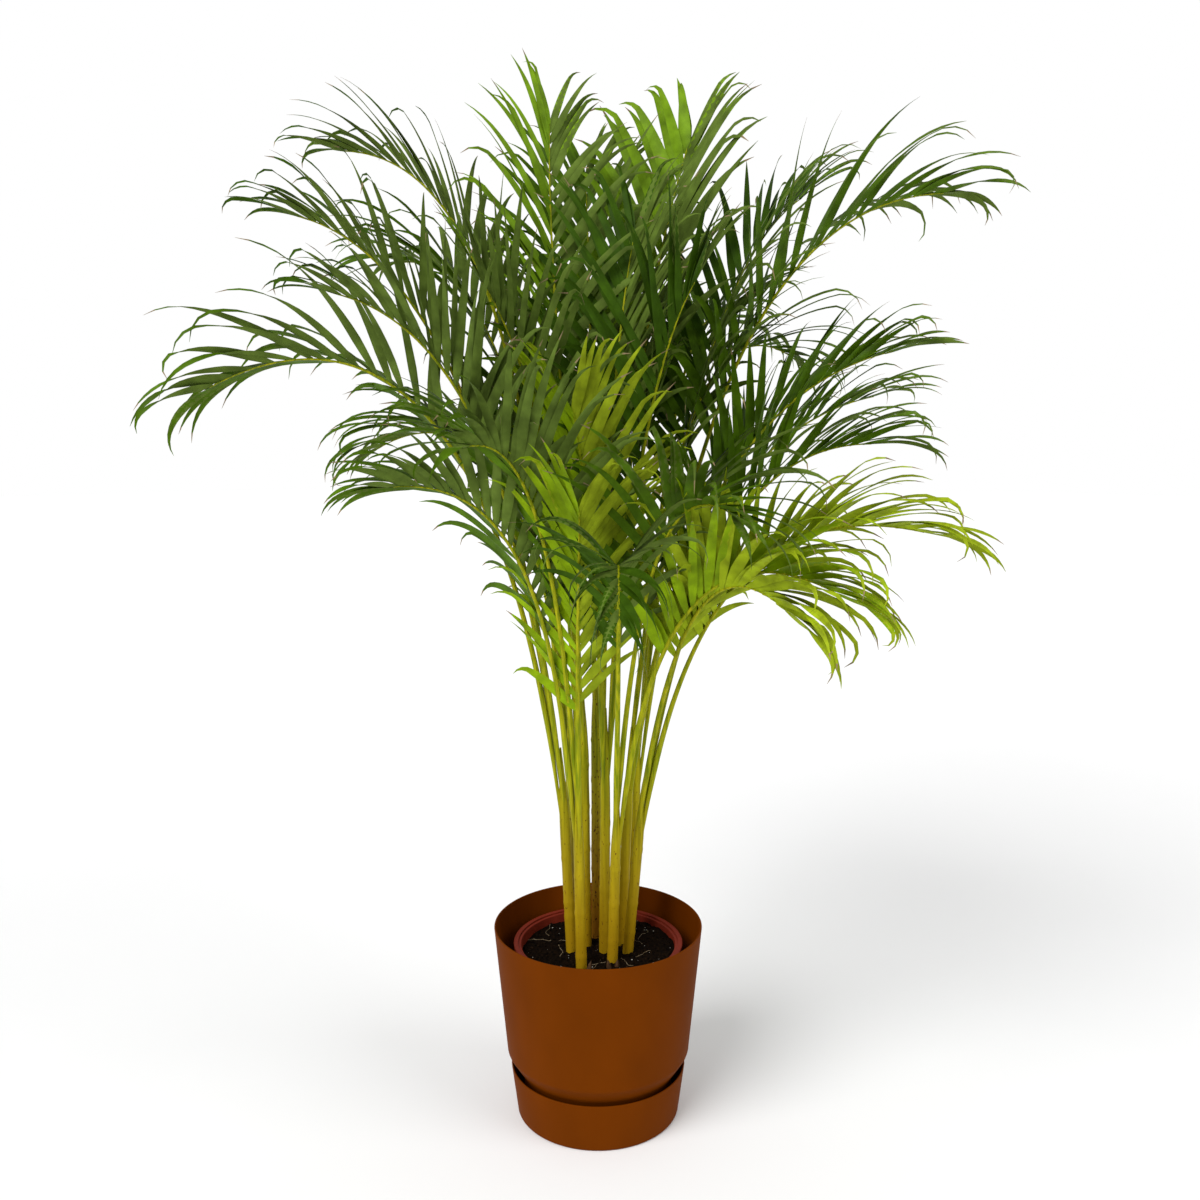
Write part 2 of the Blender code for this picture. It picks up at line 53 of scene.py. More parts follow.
# Studio. A lamp is its place and its power, and softness is the angle that it fills in the sky
FLOOR_RADIUS = 14.0
FLOOR_SIDES = 96
FLOOR_DARK = (0.93, 0.93, 0.93)
FLOOR_LIGHT = (0.95, 0.95, 0.95)
WHITE = (1.0, 1.0, 1.0, 1.0)
SURROUND_LIGHT = 0.50
LAMPS = {"key": ((-2.0, -2.2, 3.2), 2.4), "fill": ((2.6, -1.4, 2.4), 1.0)}
LAMP_AIM = (0.0, 0.0, 0.8)
SOFTNESS = 40.0

# Saucer
SAUCER_HEIGHT = 0.0717
SAUCER_RIM_RADIUS = 0.1250
SAUCER_BASE_RADIUS = 0.1165
SAUCER_EDGE_ROUND = 0.0040
SAUCER_WALL = 0.0022
SAUCER_FLOOR = 0.0030

# Planter
POT_HEIGHT = 0.2800
POT_RIM_RADIUS = 0.1475
POT_SHOULDER_RADIUS = 0.1306
POT_SHOULDER_HEIGHT = 0.0985
POT_SHOULDER_ROUND = 0.0120
POT_SHOULDER_TURN = 32.0
POT_TUCK_RADIUS = 0.1160
POT_TUCK_HEIGHT = 0.0720
POT_NECK_RADIUS = 0.1070
POT_NECK_HEIGHT = 0.0580
POT_WALL = 0.0025
POT_STAND = 0.0033
POT_FLOOR = 0.0230

# Nursery pot
NURSERY_RIM_HEIGHT = 0.2537
NURSERY_RIM_RADIUS = 0.1203
NURSERY_STEP_RADIUS = 0.1155
NURSERY_MOUTH_RADIUS = 0.1098
NURSERY_BASE_RADIUS = 0.0880
NURSERY_BASE_HEIGHT = 0.0233
NURSERY_RIM_DEPTH = 0.0110
NURSERY_STEP_DEPTH = 0.0025
NURSERY_WALL = 0.0016

# Turned shapes: steps round the axis, and round a lip, a step's edge and the saucer's inner corner
TURNED_STEPS = 144
LIP_STEPS = 8
EDGE_STEPS = 4
CORNER_STEPS = 5
MERGE_DISTANCE = 0.000001
GAP = 0.0003
CREASE_ANGLE = 38.0

# Soil: lumps and grit are counted by the metre, a slice is where their pattern is cut, and the
# surface rises towards +X
SOIL_LEVEL = 0.2410
SOIL_RADIUS = 0.1085
SOIL_RINGS = 40
SOIL_LUMP = 0.0045
SOIL_RISE = 0.03
LUMPS = 55.0
LUMP_SHARE = 0.6
LUMP_SLICE = 0.3
GRIT = 260.0
GRIT_SHARE = 0.35
GRIT_SLICE = 1.7

# What lies on the soil: how many, their smallest and largest size, and how far out they reach
CRUMBS = 700
CRUMB_SIZES = (0.0008, 0.0030)
CRUMB_REACH = SOIL_RADIUS * 0.98
SPECKS = 60
SPECK_SIZES = (0.0004, 0.0012)
SPECK_REACH = SOIL_RADIUS * 0.95
BIT_TILT = 1.5
BIT_WIDTHS = (0.5, 1.0)
BIT_HEIGHTS = (0.4, 0.8)
BIT_LIFT = 0.25

# Fine roots on the soil
ROOTS = 16
ROOT_STARTS = (0.03, 0.085)
ROOT_POINTS = (8, 16)
ROOT_STEP = 0.0035
ROOT_BEND = 35.0
ROOT_LIFT = 0.0008
ROOT_RADII = (0.0002, 0.0004)
ROOT_SIDES = 4

# Dried ends of old sheaths: where each stands, and their size
STUBS = ((0.016, -0.062), (0.026, -0.058), (-0.014, -0.074), (-0.030, -0.016))
STUB_HEIGHTS = (0.014, 0.026)
STUB_RADIUS = 0.0042
STUB_TIP = 1.02
STUB_LEAN = 0.25
STUB_SUNK = 0.004
STUB_STEPS = 6
STUB_SIDES = 9

# Canes, with their ring scars, and the sheaths that they run out into
CANE_FOOT_RADIUS = 0.0076
CANE_TOP_RADIUS = 0.0070
CANE_SIDES = 20
CANE_STEP = 0.004
CANE_BURIED = 0.008
SHEATH_LENGTH = 0.120
SHEATH_LENGTHS = (0.75, 1.1)
SHEATH_TOP_RADIUS = 0.0012
SHEATH_TAPER = 1.3
NODES = 8
NODE_SPACING = 0.055
NODE_STARTS = (0.3, 1.0)
NODE_SWELL = 0.0007
NODE_SPREAD = 0.003
RELIEF_ACROSS = 420.0
RELIEF_ALONG = 30.0
RELIEF_DEPTH = 0.0004
RELIEF_SHIFT = 9.0

# Ribs
RIB_FOOT_RADIUS = 0.0046
RIB_TIP_RADIUS = 0.0007
RIB_TAPER = 0.9
RIB_HIDDEN_FOOT = 0.35
RIB_CLEARS_SHEATH = 0.14
RIB_STATIONS = 56
RIB_SIDES = 8
SEAT_RADIUS = 0.0039
SPREAD = 0.06
RISE = 0.55

# Leaflets, as the solids' rule has them
FIRST_LENGTH = 0.62
LAST_LENGTH = 0.50
LONGEST_AT = 0.45
LENGTH_FALL = 1.6
BLADE_END = 0.995
ANGLE_AT_FOOT = 50.0
ANGLE_AT_TIP = 18.0
ANGLE_FALL = 1.3
LIFT_AT_FOOT = 36.0
LIFT_AT_TIP = 22.0
DROOP_GAIN = 1.3
DROOP_OF_STEEP = 0.25
DROOP_CURVE = 2.2

# Leaflets, as they vary from one to the next. Angles are in degrees
LEAFLETS_A_SIDE = 20
LEAFLET_STARTS = ((1, 0.1), (-1, 0.6))
LEAFLET_CLOSE = 0.4
START_VARIES = 0.15
OPEN_VARIES = 7.0
LIFT_VARIES = 13.0
DROOP_SHARES = (0.50, 1.0)
LENGTH_SHARES = (0.88, 1.06)
CURL_MOST = 110.0
CURL_RARITY = 3
CURL_FROM = 0.75
TWIST_MOST = 35.0
DRY_STEPS = (0, 0, 1, 1, 1)

# A leaflet's blade
LINE_STEPS = 14
LEAFLET_WIDTH = 0.0155
WIDTH_SHARES = (0.85, 1.1)
WIDTH_FALL = 0.25
ROOT_WIDTH = 0.35
WIDEST_AT = 0.22
SWELL_CURVE = 0.7
TIP_WIDTH = 0.02
TIP_CURVE = 2.2
LEAFLET_FOLD = 0.22
LEAFLET_THICKNESS = 0.0004
THICKNESS_AT_FOOT = 1.2
UPPER, UNDER, DRY = 0, 1, 2

# Where the colour of the stems' feet gives way to the green
FOOT_TINT_LOW = 0.26
FOOT_TINT_HIGH = 0.52

# Patterns: how many features a metre, how far they are drawn out, and how deep their relief is
EVEN = (1.0, 1.0, 1.0)
MOTTLE_SCALE = 18.0
MOTTLE_STRETCH = (1.0, 1.0, 0.6)
GRAIN_SCALE = 1400.0
GRAIN_DEPTH = 0.00008
FIBRE_SCALE = 260.0
FIBRE_DEPTH = 0.0012
SPECK_SCALE = 500.0
STREAK_SCALE = 260.0
STREAK_STRETCH = (1.0, 1.0, 0.035)
STREAK_DEPTH = 0.0003
FRECKLE_SCALE = 420.0
FRECKLE_STRETCH = (1.0, 1.0, 0.45)
FRECKLE_EDGE = 0.06
DRIFT_SCALE = 34.0
VEIN_SCALE = 900.0
VEIN_DEPTH = 0.0001
FLOOR_SCALE = 2.0

# Base colours, and copies of the leaf green and its underside with light or shade painted in
PLANTER_BROWN = (0.125, 0.0262, 0.0001)
NURSERY_RED = (0.185, 0.022, 0.010)
SOIL_DARK = (0.002, 0.0013, 0.001)
SOIL_FIBRE = (0.022, 0.011, 0.005)
CRUMB_DARK = (0.003, 0.002, 0.0015)
CRUMB_FIBRE = (0.034, 0.018, 0.009)
SPECK_DARK = (0.20, 0.18, 0.15)
SPECK_LIGHT = (0.50, 0.48, 0.43)
# Leaf greens: the common green is the leaves' own colour. The two copies before the pale one have painted
# light, for fronds in full light. The pale copy has a painted glow, for light shining through the leaves.
# The last copy has painted shade, for fronds in the shade of others.
LEAF_GREEN_AND_PAINTED_LIGHT_SHADE = {
    "painted_sunlit": (0.300, 0.390, 0.010),
    "bright": (0.190, 0.300, 0.003),
    "pale": (0.140, 0.250, 0.008),
    "green": (0.064, 0.130, 0.004),
    "painted_shade": (0.036, 0.082, 0.003),
}
LEAF_UNDER = (0.095, 0.145, 0.022)
# The underside with painted light, for the fronds that have painted light on top
LEAF_UNDER_PAINTED_LIT = (0.260, 0.330, 0.012)
LEAF_DRY = (0.230, 0.170, 0.090)

# Stems: the two tones of their streaks, their freckles' colour, how much of them stays clear of
# freckles, and the colour at their feet
Stem = namedtuple("Stem", "low high spot clear foot")
STEMS = {
    "cane_green": Stem((0.150, 0.175, 0.002), (0.400, 0.370, 0.006), (0.110, 0.045, 0.003), 0.66,
                       (0.340, 0.200, 0.004)),
    "cane_brown": Stem((0.130, 0.150, 0.004), (0.330, 0.310, 0.008), (0.060, 0.024, 0.006), 0.62,
                       (0.120, 0.058, 0.020)),
    "cane_orange": Stem((0.140, 0.160, 0.004), (0.370, 0.340, 0.008), (0.070, 0.024, 0.004), 0.62,
                        (0.300, 0.125, 0.008)),
    "stalk_green": Stem((0.150, 0.200, 0.003), (0.400, 0.390, 0.008), (0.100, 0.070, 0.004), 0.74,
                        (0.340, 0.200, 0.004)),
    "root_tan": Stem((0.12, 0.08, 0.04), (0.32, 0.25, 0.16), (0.06, 0.035, 0.02), 0.62, None),
    "sheath_dried": Stem((0.020, 0.010, 0.005), (0.080, 0.040, 0.018), (0.010, 0.005, 0.003), 0.60, None),
}

Cane = namedtuple("Cane", "foot_x foot_y top_x top_y top_z")
CANES = {
    "left": Cane(-0.038, -0.004, -0.047, -0.006, 0.43),
    "left_back": Cane(-0.034, 0.040, -0.040, 0.050, 0.46),
    "front_left": Cane(-0.023, -0.060, -0.026, -0.068, 0.41),
    "mid_left": Cane(-0.017, 0.010, -0.020, 0.014, 0.52),
    "brown": Cane(-0.002, 0.036, -0.003, 0.042, 0.55),
    "back_mid": Cane(0.008, 0.070, 0.010, 0.084, 0.47),
    "middle": Cane(0.009, -0.008, 0.010, -0.012, 0.47),
    "front_right": Cane(0.020, -0.044, 0.024, -0.052, 0.40),
    "right": Cane(0.033, 0.012, 0.042, 0.012, 0.45),
    "right_front": Cane(0.042, -0.014, 0.056, -0.022, 0.41),
    "right_back": Cane(0.044, 0.044, 0.054, 0.054, 0.45),
    "far_back": Cane(-0.024, 0.078, -0.030, 0.094, 0.44),
}

# Each frond's shape. cane: what it grows from; seat: where it stands on the cane's top, in degrees;
# heading: which way it grows, in degrees from +X; reach and height: where its rib ends, from the axis
# and from the floor; crest and lead: the height it arches through, and how far along that lies;
# sway: how far it bows to its left; bare: the share of the rib below the leaflets; leaf: the longest
# leaflet; roll: how far the blade turns about its rib; droop: how far the leaflets bend over
Frond = namedtuple("Frond", "cane seat heading reach height crest lead sway bare leaf roll droop")
FRONDS = {
    "left_long": Frond("left", 190, 187, 0.50, 1.03, 1.18, 0.38, 0.00, 0.36, 0.25, 28, 70),
    "left_high": Frond("left", 70, 190, 0.38, 1.24, 1.20, 0.45, 0.00, 0.38, 0.22, 5, 45),
    "left_mid": Frond("left", 310, 202, 0.34, 1.14, 1.10, 0.35, 0.00, 0.38, 0.22, 5, 40),
    "left_top": Frond("left_back", 200, 165, 0.36, 1.35, 1.34, 0.27, 0.00, 0.40, 0.21, 15, 45),
    "back_left": Frond("left_back", 80, 140, 0.40, 1.22, 1.24, 0.35, 0.00, 0.40, 0.24, 0, 60),
    "left_low": Frond("front_left", 180, 215, 0.30, 0.91, 0.92, 0.25, 0.00, 0.40, 0.20, 25, 60),
    "front_second": Frond("front_left", 300, 263, 0.18, 0.88, 0.80, 0.45, 0.00, 0.34, 0.20, 0, 30),
    "front_left": Frond("front_left", 60, 238, 0.28, 0.96, 0.98, 0.35, 0.00, 0.40, 0.22, 10, 60),
    "top_left": Frond("mid_left", 113, 113, 0.175, 1.40, 1.20, 0.50, 0.03, 0.42, 0.22, 0, 45),
    "left_inner": Frond("mid_left", 293, 205, 0.16, 1.16, 1.05, 0.45, 0.00, 0.40, 0.24, 0, 30),
    "back_up": Frond("brown", 130, 95, 0.22, 1.34, 1.20, 0.45, 0.00, 0.40, 0.24, 0, 40),
    "centre_up": Frond("brown", 310, 60, 0.10, 1.24, 1.10, 0.50, 0.00, 0.40, 0.24, 0, 30),
    "top_right": Frond("back_mid", 10, 54, 0.222, 1.38, 1.20, 0.50, 0.00, 0.42, 0.25, 0, 35),
    "back_far": Frond("back_mid", 130, 88, 0.42, 1.12, 1.24, 0.38, 0.00, 0.40, 0.24, 0, 60),
    "front_bright": Frond("middle", 230, 256, 0.125, 1.00, 0.88, 0.50, 0.00, 0.34, 0.22, 0, 25),
    "upper_mid": Frond("middle", 50, 330, 0.14, 1.16, 1.05, 0.45, 0.00, 0.42, 0.24, 0, 35),
    "front_droop": Frond("front_right", 240, 274, 0.34, 0.78, 0.92, 0.30, 0.00, 0.40, 0.18, 0, 80),
    "front_right": Frond("front_right", 120, 302, 0.30, 0.88, 0.95, 0.35, 0.00, 0.42, 0.22, 0, 60),
    "right_under": Frond("front_right", 0, 325, 0.36, 0.78, 0.88, 0.35, 0.00, 0.42, 0.22, -20, 60),
    "right_spear": Frond("right", 310, 350, 0.38, 1.075, 1.03, 0.40, 0.00, 0.45, 0.20, -10, 40),
    "right_mid": Frond("right", 70, 14, 0.40, 1.02, 0.98, 0.40, 0.00, 0.42, 0.22, 0, 45),
    "right_arch": Frond("right", 190, 30, 0.32, 1.08, 1.16, 0.35, 0.00, 0.42, 0.24, 0, 80),
    "right_thin": Frond("right_front", 100, 340, 0.36, 0.96, 0.96, 0.38, 0.00, 0.42, 0.22, -10, 50),
    "right_spread": Frond("right_front", 340, 337, 0.43, 0.855, 0.90, 0.36, 0.00, 0.42, 0.22, -10, 60),
    "right_low": Frond("right_front", 220, 318, 0.31, 0.76, 0.86, 0.40, 0.00, 0.42, 0.22, -35, 70),
    "right_long": Frond("right_back", 330, 8, 0.47, 1.29, 1.28, 0.35, 0.00, 0.42, 0.25, -20, 75),
    "upper_right": Frond("right_back", 210, 30, 0.335, 1.30, 1.20, 0.40, 0.00, 0.42, 0.24, 0, 60),
    "back_right": Frond("right_back", 90, 58, 0.40, 1.14, 1.20, 0.38, 0.00, 0.42, 0.24, 0, 60),
    "back_low": Frond("far_back", 60, 108, 0.42, 0.92, 1.08, 0.35, 0.00, 0.42, 0.22, 0, 70),
    "back_left_low": Frond("far_back", 210, 148, 0.40, 0.94, 1.06, 0.35, 0.00, 0.42, 0.22, 0, 70),
}

# How broad the leaflets of a few fronds are beside the others
BROAD_FRONDS = {"top_right": 1.5, "front_bright": 1.2, "right_low": 1.15, "left_long": 1.1,
                "right_mid": 0.8, "right_thin": 0.8, "right_arch": 0.85, "front_droop": 0.85}

# The canes that aren't green at their feet, and the fronds that aren't of the common green: they take a
# copy of it with light or shade painted in
CANE_TINTS = {"left_back": "cane_brown", "brown": "cane_orange"}
FROND_PAINTED_LIGHT_AND_SHADE = {
    # Painted light, for fronds in full light
    "painted_sunlit": {"right_spread", "right_low"},
    "bright": {"front_bright", "front_second", "right_under"},
    # A painted glow, for light shining through the leaves
    "pale": {"top_left", "top_right", "left_inner"},
    # Painted shade, for fronds in the shade of the others
    "painted_shade": {"left_top", "left_high", "upper_right", "upper_mid", "centre_up", "back_far", "back_low",
             "front_droop", "left_mid"},
}


def shader_of(name, roughness, specular):
    """A new material, its node tree and its shader."""
    material = bpy.data.materials.new(name)
    material.use_nodes = True
    shader = material.node_tree.nodes["Principled BSDF"]
    shader.inputs["Roughness"].default_value = roughness
    shader.inputs["Specular IOR Level"].default_value = specular
    return material, material.node_tree, shader


def stretched_noise(tree, scale, stretch, detail=4.0):
    """Noise over the object's coordinates, drawn out along one or more axes."""
    place = tree.nodes.new("ShaderNodeTexCoord")
    mapping = tree.nodes.new("ShaderNodeMapping")
    mapping.inputs["Scale"].default_value = stretch
    pattern = tree.nodes.new("ShaderNodeTexNoise")
    pattern.inputs["Scale"].default_value = scale
    pattern.inputs["Detail"].default_value = detail
    tree.links.new(place.outputs["Object"], mapping.inputs["Vector"])
    tree.links.new(mapping.outputs["Vector"], pattern.inputs["Vector"])
    return pattern.outputs["Fac"]


def colour_ramp(tree, value, stops):
    """A colour that runs through the stops as the value grows."""
    ramp = tree.nodes.new("ShaderNodeValToRGB")
    keys = ramp.color_ramp.elements
    while len(keys) < len(stops):
        keys.new(0.5)
    for key, (position, colour) in zip(keys, stops):
        key.position = position
        key.color = (*colour, 1.0)
    tree.links.new(value, ramp.inputs["Fac"])
    return ramp.outputs["Color"]


def one_colour(tree, colour):
    """A colour to mix with others."""
    node = tree.nodes.new("ShaderNodeRGB")
    node.outputs["Color"].default_value = (*colour, 1.0)
    return node.outputs["Color"]


def mixed(tree, share, one, two):
    """One colour laid over another where the share is high."""
    mix = tree.nodes.new("ShaderNodeMix")
    mix.data_type = "RGBA"
    tree.links.new(share, mix.inputs["Factor"])
    tree.links.new(one, mix.inputs["A"])
    tree.links.new(two, mix.inputs["B"])
    return mix.outputs["Result"]


def add_bump(tree, shader, height, distance, strength):
    """Fine relief on a shader."""
    relief = tree.nodes.new("ShaderNodeBump")
    relief.inputs["Distance"].default_value = distance
    relief.inputs["Strength"].default_value = strength
    tree.links.new(height, relief.inputs["Height"])
    tree.links.new(relief.outputs["Normal"], shader.inputs["Normal"])


def scaled(colour, factor):
    """A colour made lighter or darker."""
    return tuple(channel * factor for channel in colour)


def plastic(name, colour, roughness, specular):
    """Moulded plastic: an even colour with faint mottling and the fine grain of its mould."""
    material, tree, shader = shader_of(name, roughness, specular)
    mottle = stretched_noise(tree, MOTTLE_SCALE, MOTTLE_STRETCH)
    tone = colour_ramp(tree, mottle, [(0.30, scaled(colour, 0.93)), (0.70, scaled(colour, 1.07))])
    tree.links.new(tone, shader.inputs["Base Color"])
    grain = stretched_noise(tree, GRAIN_SCALE, EVEN, 2.0)
    add_bump(tree, shader, grain, GRAIN_DEPTH, 0.5)
    return material


def soil_material(name, low, high):
    """Moist compost: near-black with brown fibres."""
    material, tree, shader = shader_of(name, 0.95, 0.03)
    fibre = stretched_noise(tree, FIBRE_SCALE, EVEN, 8.0)
    tone = colour_ramp(tree, fibre, [(0.35, low), (0.62, scaled(high, 0.4)), (0.75, high)])
    tree.links.new(tone, shader.inputs["Base Color"])
    add_bump(tree, shader, fibre, FIBRE_DEPTH, 0.9)
    return material


def speck_material(name):
    """White mineral specks."""
    material, tree, shader = shader_of(name, 0.8, 0.2)
    grain = stretched_noise(tree, SPECK_SCALE, EVEN)
    tone = colour_ramp(tree, grain, [(0.3, SPECK_DARK), (0.7, SPECK_LIGHT)])
    tree.links.new(tone, shader.inputs["Base Color"])
    return material


def stem_material(name):
    """A stem: streaks along it between two tones, with dark freckles, and another colour at its foot."""
    stem = STEMS[name]
    material, tree, shader = shader_of(name, 0.48, 0.07)
    streak = stretched_noise(tree, STREAK_SCALE, STREAK_STRETCH, 3.0)
    tone = colour_ramp(tree, streak, [(0.32, stem.low), (0.68, stem.high)])
    if stem.foot:
        place = tree.nodes.new("ShaderNodeTexCoord")
        split = tree.nodes.new("ShaderNodeSeparateXYZ")
        rise = tree.nodes.new("ShaderNodeMapRange")
        rise.inputs["From Min"].default_value = FOOT_TINT_LOW
        rise.inputs["From Max"].default_value = FOOT_TINT_HIGH
        tree.links.new(place.outputs["Object"], split.inputs["Vector"])
        tree.links.new(split.outputs["Z"], rise.inputs["Value"])
        tone = mixed(tree, rise.outputs["Result"], one_colour(tree, stem.foot), tone)
    dots = stretched_noise(tree, FRECKLE_SCALE, FRECKLE_STRETCH, 2.0)
    edge = [(stem.clear, (0.0, 0.0, 0.0)), (stem.clear + FRECKLE_EDGE, (1.0, 1.0, 1.0))]
    freckle = colour_ramp(tree, dots, edge)
    tree.links.new(mixed(tree, freckle, tone, one_colour(tree, stem.spot)), shader.inputs["Base Color"])
    add_bump(tree, shader, streak, STREAK_DEPTH, 0.5)
    return material


def leaf_material(name, colour, roughness=0.45, specular=0.05):
    """A leaf: one green that drifts a little from leaflet to leaflet, with a waxy, uneven gloss."""
    material, tree, shader = shader_of(name, roughness, specular)
    drift = stretched_noise(tree, DRIFT_SCALE, EVEN, 3.0)
    stops = [(0.28, scaled(colour, 0.62)), (0.5, colour), (0.74, scaled(colour, 1.5))]
    tree.links.new(colour_ramp(tree, drift, stops), shader.inputs["Base Color"])
    vein = stretched_noise(tree, VEIN_SCALE, EVEN, 2.0)
    add_bump(tree, shader, vein, VEIN_DEPTH, 0.4)
    return material


def heading_vector(degrees):
    """A level unit vector at an angle from +X."""
    return Vector((math.cos(math.radians(degrees)), math.sin(math.radians(degrees)), 0.0))


def new_piece(name, form, materials, slot, *nodes):
    """Turn a form into a piece that rides on the plant's one body and stands for CAD nodes."""
    mesh = bpy.data.meshes.new(name)
    form.to_mesh(mesh)
    form.free()
    for material in materials:
        mesh.materials.append(material)
    mesh.shade_smooth()
    mesh.set_sharp_from_angle(angle=math.radians(CREASE_ANGLE))
    piece = bpy.data.objects.new(name, mesh)
    bpy.context.scene.collection.objects.link(piece)
    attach(piece, "root")
    if nodes:
        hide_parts(*nodes)


def arc(centre, radius, start, end, steps):
    """Points of an arc in the (radius, height) plane, angles in degrees."""
    points = []
    for step in range(steps + 1):
        angle = math.radians(start + (end - start) * step / steps)
        points.append((centre[0] + radius * math.cos(angle), centre[1] + radius * math.sin(angle)))
    return points


def turned(profile):
    """Turn a profile that starts and ends on the axis and runs down its outer side."""
    form = bmesh.new()
    corners = [form.verts.new((radius, 0.0, height)) for radius, height in profile]
    edges = [form.edges.new(pair) for pair in zip(corners, corners[1:])]
    bmesh.ops.spin(form, geom=corners + edges, axis=(0.0, 0.0, 1.0), cent=(0.0, 0.0, 0.0),
                   steps=TURNED_STEPS, angle=math.tau, use_merge=True)
    bmesh.ops.remove_doubles(form, verts=form.verts, dist=MERGE_DISTANCE)
    bmesh.ops.recalc_face_normals(form, faces=form.faces)
    return form


def saucer_form():
    """The saucer, with a rounded lip and a rounded foot."""
    lip = SAUCER_WALL / 2.0
    foot = (SAUCER_BASE_RADIUS - SAUCER_EDGE_ROUND, SAUCER_EDGE_ROUND)
    inside = SAUCER_BASE_RADIUS - SAUCER_WALL
    return turned([
        (0.0, SAUCER_FLOOR),
        *arc((inside - SAUCER_FLOOR, 2.0 * SAUCER_FLOOR), SAUCER_FLOOR, -90.0, 0.0, CORNER_STEPS),
        *arc((SAUCER_RIM_RADIUS - lip, SAUCER_HEIGHT - lip), lip, 180.0, 0.0, LIP_STEPS),
        *arc(foot, SAUCER_EDGE_ROUND, 0.0, -90.0, LIP_STEPS),
        (0.0, 0.0),
    ])


def planter_form():
    """The planter, with a rounded lip, a rounded shoulder and its tucked-in neck."""
    lip = POT_WALL / 2.0
    shoulder = (POT_SHOULDER_RADIUS - POT_SHOULDER_ROUND, POT_SHOULDER_HEIGHT)
    return turned([
        (0.0, POT_FLOOR),
        (POT_NECK_RADIUS - POT_WALL, POT_FLOOR),
        (POT_NECK_RADIUS - POT_WALL, POT_NECK_HEIGHT),
        (POT_TUCK_RADIUS - POT_WALL, POT_TUCK_HEIGHT + lip),
        (POT_SHOULDER_RADIUS - POT_WALL, POT_SHOULDER_HEIGHT),
        *arc((POT_RIM_RADIUS - lip, POT_HEIGHT - lip), lip, 180.0, 0.0, LIP_STEPS),
        *arc(shoulder, POT_SHOULDER_ROUND, 0.0, -POT_SHOULDER_TURN, LIP_STEPS),
        (POT_TUCK_RADIUS, POT_TUCK_HEIGHT),
        (POT_NECK_RADIUS, POT_NECK_HEIGHT),
        (POT_NECK_RADIUS, POT_STAND),
        (0.0, POT_STAND),
    ])


def nursery_form():
    """The nursery pot, with its stepped rim."""
    lip = NURSERY_WALL / 2.0
    step = NURSERY_RIM_HEIGHT - NURSERY_STEP_DEPTH
    skirt = NURSERY_RIM_HEIGHT - NURSERY_RIM_DEPTH
    return turned([
        (0.0, NURSERY_BASE_HEIGHT + NURSERY_WALL),
        (NURSERY_BASE_RADIUS - NURSERY_WALL, NURSERY_BASE_HEIGHT + NURSERY_WALL),
        *arc((NURSERY_MOUTH_RADIUS + lip, step - lip), lip, 180.0, 90.0, EDGE_STEPS),
        (NURSERY_STEP_RADIUS - NURSERY_WALL, step),
        *arc((NURSERY_STEP_RADIUS - lip, NURSERY_RIM_HEIGHT - lip), lip, 180.0, 90.0, EDGE_STEPS),
        *arc((NURSERY_RIM_RADIUS - lip, NURSERY_RIM_HEIGHT - lip), lip, 90.0, 0.0, EDGE_STEPS),
        (NURSERY_RIM_RADIUS - lip, skirt),
        (NURSERY_MOUTH_RADIUS + NURSERY_WALL, skirt),
        (NURSERY_BASE_RADIUS, NURSERY_BASE_HEIGHT),
        (0.0, NURSERY_BASE_HEIGHT),
    ])


def soil_height(across, back):
    """The lumpy top of the compost."""
    lumps = noise.noise(Vector((across * LUMPS, back * LUMPS, LUMP_SLICE)))
    grit = noise.noise(Vector((across * GRIT, back * GRIT, GRIT_SLICE)))
    return SOIL_LEVEL + SOIL_LUMP * (LUMP_SHARE * lumps + GRIT_SHARE * grit) + SOIL_RISE * across


def soil_form():
    """The compost's lumpy top, on a plug that fills the nursery pot."""
    form = bmesh.new()
    rings = []
    for ring in range(1, SOIL_RINGS + 1):
        radius = SOIL_RADIUS * ring / SOIL_RINGS
        row = []
        for step in range(TURNED_STEPS):
            out = heading_vector(360.0 * step / TURNED_STEPS) * radius
            row.append(form.verts.new((out.x, out.y, soil_height(out.x, out.y))))
        rings.append(row)
    base = []
    for step in range(TURNED_STEPS):
        out = heading_vector(360.0 * step / TURNED_STEPS) * (NURSERY_BASE_RADIUS - 2.0 * NURSERY_WALL)
        base.append(form.verts.new((out.x, out.y, NURSERY_BASE_HEIGHT + 2.0 * NURSERY_WALL)))
    rings.append(base)
    middle = form.verts.new((0.0, 0.0, soil_height(0.0, 0.0)))
    for step in range(TURNED_STEPS):
        after = (step + 1) % TURNED_STEPS
        form.faces.new((middle, rings[0][step], rings[0][after]))
        for inner, outer in zip(rings, rings[1:]):
            form.faces.new((inner[step], outer[step], outer[after], inner[after]))
    form.faces.new(list(reversed(base)))
    return form


def scattered_form(count, sizes, reach, draw):
    """Little lumps lying about on the compost."""
    form = bmesh.new()
    for _ in range(count):
        out = heading_vector(draw.uniform(0.0, 360.0)) * reach * math.sqrt(draw.random())
        size = draw.uniform(*sizes)
        place = Vector((out.x, out.y, soil_height(out.x, out.y) + size * BIT_LIFT))
        turn = Matrix.Rotation(draw.uniform(0.0, math.tau), 4, "Z")
        turn = turn @ Matrix.Rotation(draw.uniform(0.0, BIT_TILT), 4, "X")
        wide = size * draw.uniform(*BIT_WIDTHS)
        high = size * draw.uniform(*BIT_HEIGHTS)
        set_down = Matrix.Translation(place) @ turn @ Matrix.Diagonal((size, wide, high, 1.0))
        bmesh.ops.create_icosphere(form, subdivisions=1, radius=1.0, matrix=set_down)
    return form


